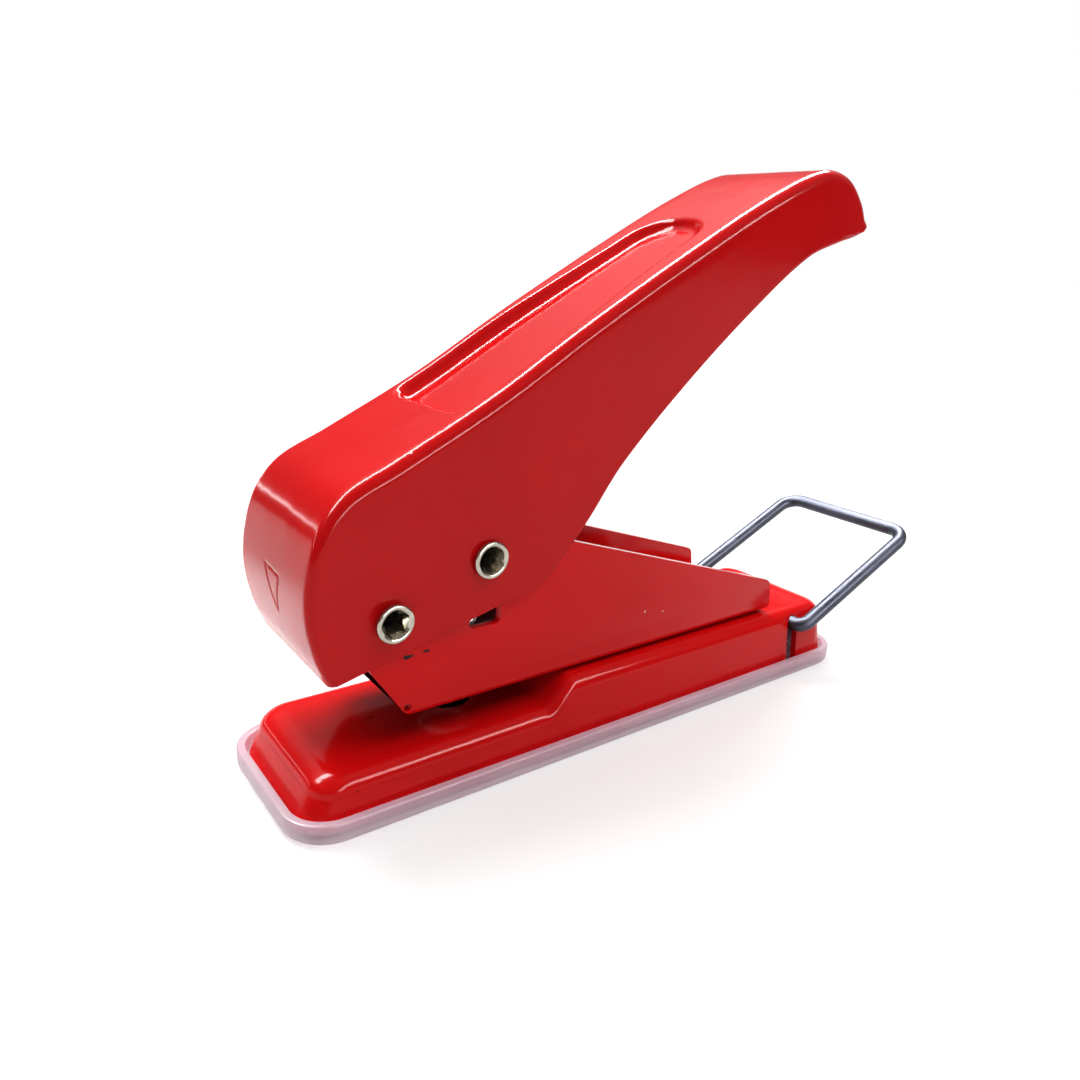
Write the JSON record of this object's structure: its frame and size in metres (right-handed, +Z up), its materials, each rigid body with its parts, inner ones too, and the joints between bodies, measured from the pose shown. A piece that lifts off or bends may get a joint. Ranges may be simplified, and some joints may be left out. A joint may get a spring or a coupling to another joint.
{
  "type": "single hole punch",
  "caption": "Hand-held single hole punch: pressed sheet lever on a U bracket, sprung punch, stepped base, clear chip tray and a wire bail that locks the lever.",
  "frame": {"origin": "centre of the chip tray's underside, which the punch stands on", "axes": "+X from the lever's nose towards its free end and the bail, +Y to the far side, +Z up"},
  "size_m": [0.1207, 0.0294, 0.0823],
  "materials": {
    "red_enamel": "gloss enamel over pressed sheet",
    "nickel": "bright nickel plate",
    "plain_steel": "zinc plated",
    "ground_steel": "ground",
    "spring_steel": "drawn wire",
    "dark_steel": "blued",
    "frosted_plastic": "frosted translucent"
  },
  "bodies": {
    "chassis": {"base_shell": "red_enamel", "die_plate": "plain_steel", "frame_bracket": "red_enamel", "frame_rivet_front": "plain_steel", "frame_rivet_rear": "plain_steel", "pivot_rivet": "nickel", "pivot_spacer": "plain_steel", "punch_guide": "plain_steel", "spring_washer": "plain_steel", "return_spring": "spring_steel"},
    "lever": {"handle_shell": "red_enamel", "drive_pin": "nickel", "pin_spacer_near": "plain_steel", "pin_spacer_far": "plain_steel"},
    "punch": {"punch_rod": "ground_steel", "punch_head": "plain_steel", "head_pin": "plain_steel"},
    "bail": {"bail_wire": "dark_steel"},
    "tray": {"chip_tray": "frosted_plastic"}
  },
  "joints": [
    {"name": "lever_pivot", "type": "hinge", "parent": "chassis", "child": "lever", "pos_m": [-0.0386, 0, 0.0266], "axis": [0, 1, 0], "range_deg": [0, 31.2], "stiffness_Nm_per_rad": 0.14, "springref_deg": -24.06},
    {"name": "punch_slide", "type": "slide", "parent": "chassis", "child": "punch", "axis": [0, 0, -1], "range_m": [0, 0.00781], "deforming": ["return_spring"]},
    {"name": "bail_pivot", "type": "hinge", "parent": "chassis", "child": "bail", "pos_m": [0.0392, 0, 0.009], "axis": [0, -1, 0], "range_deg": [-30, 31]},
    {"name": "tray_slide", "type": "slide", "parent": "chassis", "child": "tray", "axis": [0, 0, -1], "range_m": [0, 0.02]}
  ],
  "couplings": [
    {"joint": "punch_slide", "follows": "lever_pivot", "m_per_rad": 0.014328}
  ]
}
